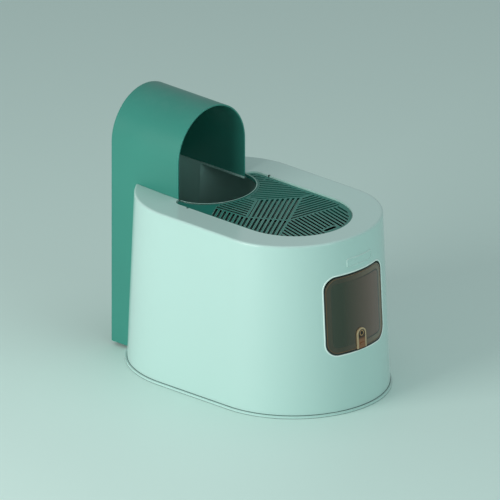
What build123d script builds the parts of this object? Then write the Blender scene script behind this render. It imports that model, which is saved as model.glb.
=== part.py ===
from build123d import *
import os
from math import atan2, cos, degrees, radians, sin, sqrt

os.makedirs("parts", exist_ok=True)

# Semi-enclosed litter box. Millimetres, +Z up, the floor at Z 0.
# The cat door faces +X and the hood stands at the -X end.
# X 0 lies halfway between the hood's back and the front of the foot flange.

# Overall
length = 614.0
running_gap = 0.3
pin_clearance = 0.05
beyond = 20.0
half_turn = 180.0
quarter_turn = 90.0

# Foot flange and litter pan
foot_half_width = 199.5
foot_back_inset = 17.4
foot_front_reach = 196.0
foot_back_reach = 205.0
foot_top = 5.5
foot_height = 0.8
foot_band = 12.0
pan_height = 100.0
pan_wall = 3.0
pan_floor = 2.5
pan_floor_top = 6.5
pan_gap = 1.0
rubber_foot_radius = 11.0
rubber_foot_wall = 3.0
rubber_foot_depth = 2.0
rubber_foot_end_inset = 117.0
rubber_foot_side_inset = 79.5

# Body shell
shell_step = 4.0
shell_wall = 3.0
rim_top = 370.6
side_draft = 7.9
front_draft = 20.0
back_draft = 20.2
top_front_reach = 172.4
top_back_reach = 179.9
rim_edge_radius = 4.0
rim_lip = 7.5
rim_dish_depth = 2.1
rim_dish_run = 55.0
rim_thickness = 2.7
ledge_top = 360.0
ledge_thickness = 3.0
ledge_width = 8.0
frame_wall = 3.0

# Hood
hood_depth = 186.0
hood_radius = 100.0
hood_wall = 2.9
hood_centre_z = 443.0
hood_bottom = 8.0
hood_back_fillet = 2.0
hood_side_gap = 0.4
well_gap = 0.6
well_wall = 3.0
well_floor_back = 150.0
well_floor_front = 112.0
well_floor_x = -272.0

# Grate lid
lid_length = 346.0
lid_setback = 3.0
lid_half_width = 119.0
lid_gap = 1.0
lid_front_reach = 126.0
lid_corner = 19.0
lid_thickness = 4.7
lid_border = 7.0
entrance_half_width = 97.0
entrance_reach = 81.0
entrance_lip_width = 2.5
entrance_lip_height = 1.5
slot_pitch = 10.0
slot_width = 5.2
slot_divider = 5.0
smallest_slot = 22.0
front_slot_angle = -15.0
entrance_border = 4.0
finger_slot_x = 330.0
finger_slot_length = 34.0
finger_slot_width = 9.0
finger_slot_border = 5.0

# Corners of the lid's slot fields, with X counted from the hood's front
field_tip = (170.0, 87.0)
field_left = (113.0, 14.0)
field_low = (162.0, -70.0)
field_hub = (237.0, -25.0)
field_near_end = (284.0, -106.0)
field_far_end = (258.0, 108.0)
field_near_start = (78.0, -76.0)
field_entrance_front = (70.0, 8.0)
field_ear = (8.0, 60.0)
field_near_edge_x = 108.0
field_far_edge_x = 182.0
field_far_corner_x = 262.0
field_half_width = 135.0
field_end_x = 380.0

# Lid hinge
hinge_setback = 44.0
hinge_drop = 4.0
lid_pin_radius = 1.75
lid_pin_length = 20.5
lid_pin_grip = 13.0
knuckle_radius = 4.0
knuckle_length = 16.0
ear_zone = 60.0
pin_boss_half = 6.0
pin_boss_depth = 7.0
pin_slot_width = 3.2
pin_slot_reach = 4.0

# Door opening and flap
door_half_width = 85.5
door_bottom = 125.0
door_top = 296.0
door_corner = 28.0
flap_side_gap = 2.0
flap_top_gap = 3.0
flap_bottom_gap = 2.5
flap_top_corner = 31.0
flap_recess = 0.5
flap_thickness = 3.0
stop_tab_overlap = 3.5
stop_tab_inboard = 5.0
stop_tab_height = 14.0
stop_tab_z = 163.0
stop_tab_thickness = 2.5

# Flap hinge
rod_radius = 2.0
rod_half_length = 51.0
rod_z = 288.0
lug_half_gap = 38.0
lug_width = 5.5
lug_radius = 4.5
ear_gap = 0.5
ear_width = 3.5
bracket_inner = 35.0
bracket_width = 22.0
bracket_thickness = 2.5
bracket_bottom = 302.0
bracket_height = 18.0
bracket_corner = 3.0
bracket_wall_gap = 0.7
screw_spacing = 13.0
screw_radius = 1.4
screw_head_radius = 3.0
screw_head_height = 2.0
screw_bite = 3.0
boss_radius = 4.0
clip_radius = 4.2
clip_thickness = 1.0

# Latch
latch_half_width = 13.0
latch_top = 172.0
latch_frame_wall = 1.6
latch_lip = 1.6
latch_proud = 2.6
glue_gap = 0.2
slider_play = 0.3
slider_thickness = 0.9
slider_face_rise = 1.1
slider_grip_rise = 1.6
slider_grip_z = 139.0
slider_grip_half_width = 6.0
slider_grip_height = 4.0
slider_bottom = 129.0
slider_travel = 8.0
peg_radius = 1.8
peg_z = 153.0
peg_knob_radius = 3.5
peg_knob_thickness = 2.5
backplate_half_width = 16.0
backplate_bottom = 131.0
backplate_top = 168.0
backplate_corner = 5.0
backplate_thickness = 4.0

# Magnets
magnet_half_length = 10.0
magnet_height = 6.0
magnet_thickness = 3.0
flap_magnet_z = 137.0
sill_magnet_z = 113.0
magnet_gap = 0.1
magnet_skin = 0.8
sill_block_half_width = 14.0
sill_block_bottom = 106.0
sill_block_top = 120.5
sill_block_depth = 6.0

# Plate above the door
plate_centre_y = 6.0
plate_half_length = 37.0
plate_centre_z = 318.0
plate_half_height = 9.0
plate_thickness = 1.0
plate_border = 1.6
plate_border_rise = 0.8
plate_corner = 2.0

# Places worked out from the sizes above
back_x = -length / 2
front_x = length / 2
hood_front_x = back_x + hood_depth
foot_back_x = back_x + foot_back_inset
rubber_foot_x = front_x - rubber_foot_end_inset
rubber_foot_y = foot_half_width - rubber_foot_side_inset
shell_bottom = foot_top + running_gap
deck_z = rim_top - rim_dish_depth
lid_bottom = ledge_top + running_gap
lid_top = lid_bottom + lid_thickness
lid_back_x = hood_front_x + lid_setback
lid_front_x = lid_back_x + lid_length
hinge_x = lid_back_x + hinge_setback
hinge_z = lid_top - hinge_drop
hood_inner = hood_radius - hood_wall
well_outer = hood_inner - well_gap
well_inner = well_outer - well_wall
well_back_x = back_x + hood_wall + well_gap
flap_skin = flap_recess + flap_thickness


def body_outline(z, inset=0.0):
    """Half width, front X, back X and the two end reaches of the tapered body at height z."""
    rise = (z - shell_bottom) / (rim_top - shell_bottom)
    half_width = foot_half_width - shell_step - side_draft * rise - inset
    front = front_x - shell_step - front_draft * rise - inset
    back = foot_back_x + shell_step + back_draft * rise + inset
    front_low = foot_front_reach - shell_step
    back_low = foot_back_reach - shell_step
    front_reach = front_low + (top_front_reach - front_low) * rise - inset
    back_reach = back_low + (top_back_reach - back_low) * rise - inset
    return half_width, front, back, front_reach, back_reach


def front_surface_x(z, y=0.0, inset=0.0):
    """X of the body's curved front end at height z and side distance y."""
    half_width, front, back, front_reach, back_reach = body_outline(z, inset)
    return front - front_reach + front_reach * sqrt(1 - (y / half_width) ** 2)


def body_sketch(half_width, front, back, front_reach, back_reach):
    """Closed outline with straight sides and half-ellipse ends."""
    front_centre = front - front_reach
    back_centre = back + back_reach
    with BuildSketch() as outline:
        with BuildLine():
            Line((back_centre, -half_width), (front_centre, -half_width))
            EllipticalCenterArc(
                (front_centre, 0),
                front_reach,
                half_width,
                start_angle=-quarter_turn,
                arc_size=half_turn,
            )
            Line((front_centre, half_width), (back_centre, half_width))
            EllipticalCenterArc(
                (back_centre, 0),
                back_reach,
                half_width,
                start_angle=quarter_turn,
                arc_size=half_turn,
            )
        make_face()
    return outline.sketch


def tapered_body(inset, low, high):
    """Solid of the body's tapered form, moved inwards by inset."""
    with BuildPart() as body:
        for z in (low, high):
            with BuildSketch(Plane.XY.offset(z)):
                add(body_sketch(*body_outline(z, inset)))
        loft()
    return body.part


def front_piece(inset_out, inset_in, outline):
    """Piece of the curved front end between two insets, cut to an outline in the YZ plane."""
    box = outline.bounding_box()
    outside = tapered_body(inset_out, box.min.Z - beyond, box.max.Z + beyond)
    inside = tapered_body(inset_in, box.min.Z - 2 * beyond, box.max.Z + 2 * beyond)
    with BuildPart() as piece:
        add(outside)
        add(inside, mode=Mode.SUBTRACT)
        extrude(outline, amount=front_x, mode=Mode.INTERSECT)
    return piece.part


def lid_sketch(growth):
    """Outline of the grate lid, grown outwards by growth."""
    half_width = lid_half_width + growth
    back = lid_back_x - growth
    corner_x = lid_back_x + lid_corner
    corner_y = lid_half_width - lid_corner
    front_centre = lid_front_x - lid_front_reach
    with BuildSketch() as outline:
        with BuildLine():
            Line((back, -corner_y), (back, corner_y))
            CenterArc((corner_x, corner_y), lid_corner + growth, quarter_turn, quarter_turn)
            Line((corner_x, half_width), (front_centre, half_width))
            EllipticalCenterArc(
                (front_centre, 0),
                lid_front_reach + growth,
                half_width,
                start_angle=-quarter_turn,
                arc_size=half_turn,
            )
            Line((front_centre, -half_width), (corner_x, -half_width))
            CenterArc((corner_x, -corner_y), lid_corner + growth, half_turn, quarter_turn)
        make_face()
    return outline.sketch


def hood_slot_sketch(half_width, front):
    """Rectangle from behind the body to front."""
    with BuildSketch() as outline:
        with Locations(((back_x - beyond + front) / 2, 0)):
            Rectangle(front - back_x + beyond, 2 * half_width)
    return outline.sketch


def arch_sketch(half_width, bottom, centre_z):
    """Upright arch."""
    with BuildSketch() as outline:
        with BuildLine():
            Polyline(
                (-half_width, centre_z),
                (-half_width, bottom),
                (half_width, bottom),
                (half_width, centre_z),
            )
            ThreePointArc((half_width, centre_z), (0, centre_z + half_width), (-half_width, centre_z))
        make_face()
    return outline.sketch


# Litter pan with its foot flange
def make_base_tray():
    foot = (foot_half_width, front_x, foot_back_x, foot_front_reach, foot_back_reach)
    inside_foot = (
        foot_half_width - foot_band,
        front_x - foot_band,
        foot_back_x + foot_band,
        foot_front_reach - foot_band,
        foot_back_reach - foot_band,
    )
    pan_inset = shell_wall + pan_gap
    pan_outside = tapered_body(pan_inset, foot_top - foot_height, pan_height)
    pan_inside = tapered_body(pan_inset + pan_wall, pan_floor_top, pan_height + beyond)
    with BuildPart() as tray:
        with BuildSketch(Plane.XY.offset(foot_height)):
            add(body_sketch(*foot))
        extrude(amount=foot_top - foot_height)
        add(pan_outside)
        add(pan_inside, mode=Mode.SUBTRACT)
        with BuildSketch(Plane.XY):
            add(body_sketch(*inside_foot))
            with GridLocations(2 * rubber_foot_x, 2 * rubber_foot_y, 2, 2):
                Circle(rubber_foot_radius + rubber_foot_wall, mode=Mode.SUBTRACT)
        extrude(amount=pan_floor_top - pan_floor, mode=Mode.SUBTRACT)
        with BuildSketch(Plane.XY.offset(foot_height)):
            with GridLocations(2 * rubber_foot_x, 2 * rubber_foot_y, 2, 2):
                Circle(rubber_foot_radius)
        extrude(amount=rubber_foot_depth, mode=Mode.SUBTRACT)
    tray.part.label = "base_tray"
    export_step(tray.part, "parts/base_tray.step")


def make_feet():
    corners = {
        "foot_front_left": (rubber_foot_x, rubber_foot_y),
        "foot_front_right": (rubber_foot_x, -rubber_foot_y),
        "foot_rear_left": (-rubber_foot_x, rubber_foot_y),
        "foot_rear_right": (-rubber_foot_x, -rubber_foot_y),
    }
    for name, (x, y) in corners.items():
        with BuildPart() as foot:
            with BuildSketch():
                with Locations((x, y)):
                    Circle(rubber_foot_radius - glue_gap)
            extrude(amount=foot_height + rubber_foot_depth)
        foot.part.label = name
        export_step(foot.part, f"parts/{name}.step")


# Body shell with its rim, recess, entry well and door opening
def well_side_sketch(wall):
    """Side view of the entry well, moved inwards by wall."""
    back = well_back_x + wall
    inside = back_x + hood_depth / 2
    with BuildSketch() as outline:
        with BuildLine():
            Polyline(
                (back, ledge_top),
                (back, well_floor_back + wall),
                (well_floor_x, well_floor_front + wall),
                (inside, well_floor_front + wall),
                (inside, ledge_top),
                close=True,
            )
        make_face()
    return outline.sketch


def make_recess_frame():
    """Upright frame and ledge under the rim that carry the lid and the hood."""
    body = tapered_body(0, ledge_top - beyond, rim_top)
    with BuildPart() as frame:
        with BuildSketch(Plane.XY.offset(ledge_top - ledge_thickness)):
            add(lid_sketch(lid_gap + frame_wall))
            add(hood_slot_sketch(hood_radius + hood_side_gap + frame_wall, lid_back_x))
        extrude(amount=deck_z - rim_thickness / 2 - ledge_top + ledge_thickness)
        add(body, mode=Mode.INTERSECT)
    return frame.part


def make_sill_block():
    """Pocket block inside the front wall that holds the sill magnet."""
    with BuildSketch(Plane.YZ) as outline:
        with Locations((0, (sill_block_bottom + sill_block_top) / 2)):
            Rectangle(2 * sill_block_half_width, sill_block_top - sill_block_bottom)
    return front_piece(shell_wall / 2, shell_wall + sill_block_depth, outline.sketch)


def make_body_shell():
    under_rim = deck_z - rim_thickness
    boss_top = deck_z - rim_thickness / 2
    slot_front = lid_back_x - lid_gap
    recess_side = lid_half_width + lid_gap
    outside = tapered_body(0, shell_bottom, rim_top)
    inside = tapered_body(shell_wall, shell_bottom - beyond, under_rim)
    frame = make_recess_frame()
    sill_block = make_sill_block()
    with BuildPart() as shell:
        add(outside)
        fillet(shell.edges().group_by(Axis.Z)[-1], rim_edge_radius)
        with BuildSketch(Plane.XZ.offset(-well_outer)):
            add(well_side_sketch(0))
        extrude(amount=2 * well_outer)
        add(inside, mode=Mode.SUBTRACT)
        add(frame)
        add(sill_block)
        for side in (1, -1):
            with BuildSketch(Plane.XZ.offset(-side * recess_side)):
                with Locations((hinge_x, (hinge_z - pin_boss_half + boss_top) / 2)):
                    Rectangle(2 * pin_boss_half, boss_top - hinge_z + pin_boss_half)
            extrude(amount=-side * (frame_wall + pin_boss_depth))
        for y, z in bracket_screw_places():
            with BuildSketch(Plane.YZ.offset(bracket_plane_x)):
                with Locations((y, z)):
                    Circle(boss_radius)
            extrude(amount=front_surface_x(z, abs(y) + boss_radius, shell_wall / 2) - bracket_plane_x)
        with BuildSketch(Plane.XY.offset(deck_z)):
            add(body_sketch(*body_outline(deck_z, rim_lip + rim_dish_run)))
        with BuildSketch(Plane.XY.offset(rim_top)):
            add(body_sketch(*body_outline(rim_top, rim_lip)))
        loft(mode=Mode.SUBTRACT)
        with BuildSketch(Plane.XY.offset(ledge_top)):
            add(lid_sketch(lid_gap))
            add(hood_slot_sketch(hood_radius + hood_side_gap, slot_front))
        extrude(amount=beyond, mode=Mode.SUBTRACT)
        with BuildSketch(Plane.XY.offset(ledge_top - beyond)):
            add(lid_sketch(-ledge_width))
        extrude(amount=2 * beyond, mode=Mode.SUBTRACT)
        with BuildSketch(Plane.XY.offset(ledge_top - beyond)):
            add(lid_sketch(lid_gap))
            with Locations((lid_back_x + ear_zone, 0)):
                Rectangle(length, length, align=(Align.MIN, Align.CENTER), mode=Mode.SUBTRACT)
        extrude(amount=2 * beyond, mode=Mode.SUBTRACT)
        with BuildSketch(Plane.XZ.offset(-well_inner)):
            add(well_side_sketch(well_wall))
        extrude(amount=2 * well_inner, mode=Mode.SUBTRACT)
        with BuildSketch(Plane.XY.offset(ledge_top - beyond)):
            with Locations((well_back_x + well_wall, 0)):
                Rectangle(
                    slot_front - well_back_x - well_wall + lid_gap,
                    2 * well_inner,
                    align=(Align.MIN, Align.CENTER),
                )
        extrude(amount=2 * beyond, mode=Mode.SUBTRACT)
        for side in (1, -1):
            with BuildSketch(Plane.XZ.offset(-side * lid_half_width)):
                with Locations((hinge_x, hinge_z)):
                    Circle(lid_pin_radius + pin_clearance)
            extrude(
                amount=-side * (lid_pin_length - lid_pin_grip + running_gap),
                mode=Mode.SUBTRACT,
            )
            with BuildSketch(Plane.XZ.offset(-side * lid_half_width)):
                with Locations((hinge_x, hinge_z)):
                    Rectangle(pin_slot_width, beyond, align=(Align.CENTER, Align.MIN))
            extrude(amount=-side * (lid_gap + pin_slot_reach), mode=Mode.SUBTRACT)
        with BuildSketch(Plane.YZ.offset(front_x / 2)):
            with Locations((0, (door_bottom + door_top) / 2)):
                RectangleRounded(2 * door_half_width, door_top - door_bottom, door_corner)
        extrude(amount=front_x, mode=Mode.SUBTRACT)
        for y, z in bracket_screw_places():
            with BuildSketch(Plane.YZ.offset(bracket_plane_x)):
                with Locations((y, z)):
                    Circle(screw_radius + pin_clearance)
            extrude(amount=screw_bite + running_gap, mode=Mode.SUBTRACT)
        with BuildSketch(Plane.YZ.offset(sill_pocket_x)):
            with Locations((0, sill_magnet_z)):
                Rectangle(2 * (magnet_half_length + magnet_gap), magnet_height + 2 * magnet_gap)
        extrude(amount=-sill_block_depth - shell_wall, mode=Mode.SUBTRACT)
    shell.part.label = "body_shell"
    export_step(shell.part, "parts/body_shell.step")


# Hood: arch tunnel whose back runs down behind the body
def make_hood():
    body = tapered_body(-hood_side_gap, -beyond, ledge_top + running_gap)
    with BuildPart() as hood:
        with BuildSketch(Plane.YZ.offset(back_x)):
            add(arch_sketch(hood_radius, hood_bottom, hood_centre_z))
        extrude(amount=hood_depth)
        back_edges = hood.faces().sort_by(Axis.X)[0].edges()
        fillet(back_edges.filter_by(lambda edge: edge.center().Z > hood_bottom + hood_wall), hood_back_fillet)
        with BuildSketch(Plane.YZ.offset(back_x + hood_wall)):
            add(arch_sketch(hood_inner, hood_bottom - beyond, hood_centre_z))
        extrude(amount=hood_depth, mode=Mode.SUBTRACT)
        add(body, mode=Mode.SUBTRACT)
    hood.part.label = "hood"
    export_step(hood.part, "parts/hood.step")


# Grate lid: a plate cut through by six fields of slots
def hood_point(x, y=0.0):
    """Point of the lid's pattern, with x counted from the hood's front."""
    return (hood_front_x + x, y)


def field_angle(start, end):
    """Direction from start to end in degrees."""
    return degrees(atan2(end[1] - start[1], end[0] - start[0]))


def slot_fields():
    """Each field's corners, the angle of its slots and a point that a bar's middle line meets."""
    tip = hood_point(*field_tip)
    left = hood_point(*field_left)
    low = hood_point(*field_low)
    hub = hood_point(*field_hub)
    near_end = hood_point(*field_near_end)
    far_end = hood_point(*field_far_end)
    near_start = hood_point(*field_near_start)
    entrance_front = hood_point(*field_entrance_front)
    ear = hood_point(*field_ear)
    ear_edge = hood_point(field_ear[0], field_half_width)
    near_edge = hood_point(field_near_edge_x, -field_half_width)
    near_corner = hood_point(field_near_end[0], -field_half_width)
    near_front = hood_point(field_end_x, -field_half_width)
    far_edge = hood_point(field_far_edge_x, field_half_width)
    far_corner = hood_point(field_far_corner_x, field_half_width)
    far_front_corner = hood_point(field_end_x, field_half_width)
    near_strip = [near_start, low, hub, near_end, near_corner, near_edge]
    centre = [left, tip, hub, low]
    front = [far_end, hub, near_end, near_corner, near_front, far_front_corner, far_corner]
    far_front = [tip, hub, far_end, far_corner, far_edge]
    far_back = [left, tip, far_edge, ear_edge, ear, entrance_front]
    beside_entrance = [entrance_front, left, low, near_start]
    return [
        (near_strip, field_angle(tip, hub), hub),
        (centre, field_angle(tip, hub), hub),
        (front, front_slot_angle, hub),
        (far_front, field_angle(hub, far_end), far_end),
        (far_back, field_angle(left, tip), tip),
        (beside_entrance, field_angle(near_start, low), low),
    ]


def slot_faces(corners, angle, anchor):
    """Faces of one field's slots, clear of the lid's border, entrance and finger slot."""
    across = (-sin(radians(angle)), cos(radians(angle)))
    rows = int(length / 2 / slot_pitch)
    steps = [row * slot_pitch for row in range(-rows, rows + 1)]
    bars = [(anchor[0] + across[0] * step, anchor[1] + across[1] * step) for step in steps]
    rim = entrance_lip_width + entrance_border
    with BuildSketch() as field:
        with BuildLine():
            Polyline(*corners, close=True)
        make_face()
        offset(amount=-slot_divider / 2, kind=Kind.INTERSECTION)
        with Locations(*bars):
            Rectangle(2 * length, slot_pitch - slot_width, rotation=angle, mode=Mode.SUBTRACT)
    with BuildSketch() as slots:
        add(lid_sketch(-lid_border))
        with Locations((lid_back_x, 0)):
            Ellipse(entrance_reach + rim, entrance_half_width + rim, mode=Mode.SUBTRACT)
        with Locations(hood_point(finger_slot_x)):
            SlotOverall(
                finger_slot_length + 2 * finger_slot_border,
                finger_slot_width + 2 * finger_slot_border,
                rotation=quarter_turn,
                mode=Mode.SUBTRACT,
            )
        add(field.sketch, mode=Mode.INTERSECT)
    return [face for face in slots.sketch.faces() if face.area > smallest_slot]


def make_grate_lid():
    holes = [face for field in slot_fields() for face in slot_faces(*field)]
    print("lid slots:", len(holes))
    with BuildPart() as lid:
        with BuildSketch(Plane.XY.offset(lid_bottom)):
            add(lid_sketch(0))
            with Locations((lid_back_x, 0)):
                Ellipse(entrance_reach, entrance_half_width, mode=Mode.SUBTRACT)
            add(holes, mode=Mode.SUBTRACT)
            with Locations(hood_point(finger_slot_x)):
                SlotOverall(finger_slot_length, finger_slot_width, rotation=quarter_turn, mode=Mode.SUBTRACT)
        extrude(amount=lid_thickness)
        with BuildSketch(Plane.XY.offset(lid_top)):
            with Locations((lid_back_x, 0)):
                Ellipse(entrance_reach + entrance_lip_width, entrance_half_width + entrance_lip_width)
                Ellipse(entrance_reach, entrance_half_width, mode=Mode.SUBTRACT)
                Rectangle(length, length, align=(Align.MAX, Align.CENTER), mode=Mode.SUBTRACT)
        extrude(amount=entrance_lip_height)
        for side in (1, -1):
            with BuildSketch(Plane.XZ.offset(-side * lid_half_width)):
                with Locations((hinge_x, hinge_z)):
                    Circle(knuckle_radius)
            extrude(amount=side * knuckle_length)
            with BuildSketch(Plane.XZ.offset(-side * lid_half_width)):
                with Locations((hinge_x, hinge_z)):
                    Circle(lid_pin_radius + pin_clearance / 2)
            extrude(amount=side * (lid_pin_grip + pin_clearance), mode=Mode.SUBTRACT)
    lid.part.label = "grate_lid"
    export_step(lid.part, "parts/grate_lid.step")


def make_lid_pins():
    for name, side in (("lid_pin_left", 1), ("lid_pin_right", -1)):
        with BuildPart() as pin:
            with BuildSketch(Plane.XZ.offset(-side * (lid_half_width - lid_pin_grip))):
                with Locations((hinge_x, hinge_z)):
                    Circle(lid_pin_radius)
            extrude(amount=-side * lid_pin_length)
        pin.part.label = name
        export_step(pin.part, f"parts/{name}.step")


# Flap and its hinge
def bracket_screw_places():
    """Y and Z of the four bracket screws."""
    centre_y = bracket_inner + bracket_width / 2
    centre_z = bracket_bottom + bracket_height / 2
    return [
        (side * (centre_y + step * screw_spacing / 2), centre_z)
        for side in (1, -1)
        for step in (1, -1)
    ]


def peg_slot_sketch():
    """Upright slot that the latch's peg runs in."""
    with BuildSketch() as outline:
        with Locations((0, peg_z - slider_travel / 2)):
            SlotOverall(
                slider_travel + 2 * (peg_radius + slider_play),
                2 * (peg_radius + slider_play),
                rotation=quarter_turn,
            )
    return outline.sketch


def make_stop_tab(side):
    """Tab on the flap's back that reaches behind the wall beside the opening."""
    edge = door_half_width - flap_side_gap
    with BuildSketch(Plane.YZ) as outline:
        with Locations((side * (edge + (stop_tab_overlap - stop_tab_inboard) / 2), stop_tab_z)):
            Rectangle(stop_tab_overlap + stop_tab_inboard, stop_tab_height)
    inset = shell_wall + running_gap
    return front_piece(inset, inset + stop_tab_thickness, outline.sketch)


def make_door_flap():
    low = door_bottom + flap_bottom_gap
    high = door_top - flap_top_gap
    half_width = door_half_width - flap_side_gap
    with BuildSketch(Plane.YZ) as outline:
        with Locations((0, (low + high) / 2)):
            RectangleRounded(2 * half_width, high - low, door_corner - flap_side_gap)
        with Locations((0, low)):
            RectangleRounded(2 * half_width, 2 * (high - low), flap_top_corner, mode=Mode.INTERSECT)
    with BuildSketch(Plane.YZ) as slot:
        add(peg_slot_sketch())
    panel = front_piece(flap_recess, flap_skin, outline.sketch)
    tabs = [make_stop_tab(side) for side in (1, -1)]
    with BuildPart() as flap:
        add(panel)
        add(tabs)
        for side in (1, -1):
            lug_end = front_surface_x(rod_z, lug_half_gap + lug_width, flap_skin - flap_thickness / 2)
            with BuildSketch(Plane.XZ.offset(-side * lug_half_gap)):
                with Locations((rod_x, rod_z)):
                    Circle(lug_radius)
                    Rectangle(lug_end - rod_x, 2 * lug_radius, align=(Align.MIN, Align.CENTER))
            extrude(amount=-side * lug_width)
        with BuildSketch(Plane.XZ.offset(-rod_half_length)):
            with Locations((rod_x, rod_z)):
                Circle(rod_radius + pin_clearance)
        extrude(amount=2 * rod_half_length, mode=Mode.SUBTRACT)
        extrude(slot.sketch, amount=length, mode=Mode.SUBTRACT)
    flap.part.label = "door_flap"
    export_step(flap.part, "parts/door_flap.step")


def make_hinge_rod():
    with BuildPart() as rod:
        with BuildSketch(Plane.XZ.offset(-rod_half_length)):
            with Locations((rod_x, rod_z)):
                Circle(rod_radius)
        extrude(amount=2 * rod_half_length)
    rod.part.label = "hinge_rod"
    export_step(rod.part, "parts/hinge_rod.step")


def make_rod_brackets():
    ear_inner = lug_half_gap + lug_width + ear_gap
    for name, side in (("rod_bracket_left", 1), ("rod_bracket_right", -1)):
        places = [place for place in bracket_screw_places() if place[0] * side > 0]
        with BuildPart() as bracket:
            with BuildSketch(Plane.YZ.offset(rod_x - bracket_thickness / 2)):
                centre_y = side * (bracket_inner + bracket_width / 2)
                with Locations((centre_y, bracket_bottom + bracket_height / 2)):
                    RectangleRounded(bracket_width, bracket_height, bracket_corner)
                with Locations(*places):
                    Circle(screw_radius + pin_clearance, mode=Mode.SUBTRACT)
            extrude(amount=bracket_thickness)
            with BuildSketch(Plane.XZ.offset(-side * ear_inner)):
                with Locations((rod_x, rod_z)):
                    Circle(lug_radius)
                with Locations((rod_x + bracket_thickness / 2, rod_z)):
                    Rectangle(
                        lug_radius + bracket_thickness / 2,
                        bracket_bottom - rod_z + bracket_corner + ear_width / 2,
                        align=(Align.MAX, Align.MIN),
                    )
                with Locations((rod_x, rod_z)):
                    Circle(rod_radius + pin_clearance / 2, mode=Mode.SUBTRACT)
            extrude(amount=-side * ear_width)
        bracket.part.label = name
        export_step(bracket.part, f"parts/{name}.step")


def make_bracket_screws():
    with BuildPart() as screws:
        for y, z in bracket_screw_places():
            with BuildSketch(Plane.YZ.offset(rod_x - bracket_thickness / 2 - screw_head_height)):
                with Locations((y, z)):
                    Circle(screw_head_radius)
            extrude(amount=screw_head_height)
            with BuildSketch(Plane.YZ.offset(rod_x - bracket_thickness / 2 - screw_head_height)):
                with Locations((y, z)):
                    Circle(screw_radius)
            extrude(amount=screw_head_height + bracket_thickness + running_gap + screw_bite)
    screws.part.label = "bracket_screws"
    export_step(screws.part, "parts/bracket_screws.step")


def make_rod_clips():
    ear_outer = lug_half_gap + lug_width + ear_gap + ear_width + running_gap
    with BuildPart() as clips:
        for side in (1, -1):
            with BuildSketch(Plane.XZ.offset(-side * ear_outer)):
                with Locations((rod_x, rod_z)):
                    Circle(clip_radius)
                    Circle(rod_radius + pin_clearance / 2, mode=Mode.SUBTRACT)
            extrude(amount=-side * clip_thickness)
    clips.part.label = "rod_clips"
    export_step(clips.part, "parts/rod_clips.step")


# Slide latch on the flap
def latch_outline(half_width, bottom):
    """Arch outline around the latch's centre, in the YZ plane."""
    with BuildSketch(Plane.YZ) as outline:
        add(arch_sketch(half_width, bottom, latch_top - latch_half_width))
    return outline.sketch


def make_latch_frame():
    below = slider_bottom - beyond
    track = latch_half_width - latch_frame_wall
    track_height = 2 * slider_play + slider_thickness
    rim = front_piece(-latch_proud, flap_recess - glue_gap, latch_outline(latch_half_width, slider_bottom))
    groove = front_piece(-track_height, flap_recess, latch_outline(track, below))
    window = front_piece(-2 * latch_proud, flap_recess, latch_outline(track - latch_lip, below))
    with BuildPart() as frame:
        add(rim)
        add(groove, mode=Mode.SUBTRACT)
        add(window, mode=Mode.SUBTRACT)
    frame.part.label = "latch_frame"
    export_step(frame.part, "parts/latch_frame.step")


def make_latch_slider():
    track = latch_half_width - latch_frame_wall
    base_top = slider_play + slider_thickness
    face_top = base_top + slider_face_rise
    base_outline = latch_outline(track - slider_play, slider_bottom)
    face_outline = latch_outline(track - latch_lip - slider_play, slider_bottom)
    with BuildSketch(Plane.YZ) as grip_outline:
        with Locations((0, slider_grip_z)):
            SlotOverall(2 * slider_grip_half_width, slider_grip_height)
    base = front_piece(-base_top, -slider_play, base_outline)
    face = front_piece(-face_top, -slider_play - slider_thickness / 2, face_outline)
    grip = front_piece(-face_top - slider_grip_rise, -slider_play - slider_thickness / 2, grip_outline.sketch)
    plate_back = flap_skin + running_gap + backplate_thickness
    knob_x = front_surface_x(peg_z + peg_knob_radius, 0, plate_back + running_gap)
    with BuildPart() as slider:
        add(base)
        add(face)
        add(grip)
        with BuildSketch(Plane.YZ.offset(knob_x - peg_knob_thickness)):
            with Locations((0, peg_z)):
                Circle(peg_radius)
        extrude(amount=front_surface_x(peg_z, 0, -base_top) - knob_x + peg_knob_thickness)
        with BuildSketch(Plane.YZ.offset(knob_x - peg_knob_thickness)):
            with Locations((0, peg_z)):
                Circle(peg_knob_radius)
        extrude(amount=peg_knob_thickness)
    slider.part.label = "latch_slider"
    export_step(slider.part, "parts/latch_slider.step")


def make_latch_backplate():
    inset = flap_skin + running_gap
    with BuildSketch(Plane.YZ) as outline:
        with Locations((0, (backplate_bottom + backplate_top) / 2)):
            RectangleRounded(2 * backplate_half_width, backplate_top - backplate_bottom, backplate_corner)
        add(peg_slot_sketch(), mode=Mode.SUBTRACT)
    blank = front_piece(inset, inset + backplate_thickness, outline.sketch)
    with BuildPart() as plate:
        add(blank)
        with BuildSketch(Plane.YZ.offset(flap_pocket_x)):
            with Locations((0, flap_magnet_z)):
                Rectangle(2 * (magnet_half_length + magnet_gap), magnet_height + 2 * magnet_gap)
        extrude(amount=-2 * backplate_thickness, mode=Mode.SUBTRACT)
    plate.part.label = "latch_backplate"
    export_step(plate.part, "parts/latch_backplate.step")


# Magnets that hold the flap shut
def make_magnets():
    places = {
        "flap_magnet": (flap_pocket_x, flap_magnet_z),
        "sill_magnet": (sill_pocket_x, sill_magnet_z),
    }
    for name, (pocket_x, z) in places.items():
        with BuildPart() as magnet:
            with BuildSketch(Plane.YZ.offset(pocket_x - magnet_gap)):
                with Locations((0, z)):
                    Rectangle(2 * magnet_half_length, magnet_height)
            extrude(amount=-magnet_thickness)
        magnet.part.label = name
        export_step(magnet.part, f"parts/{name}.step")


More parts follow.
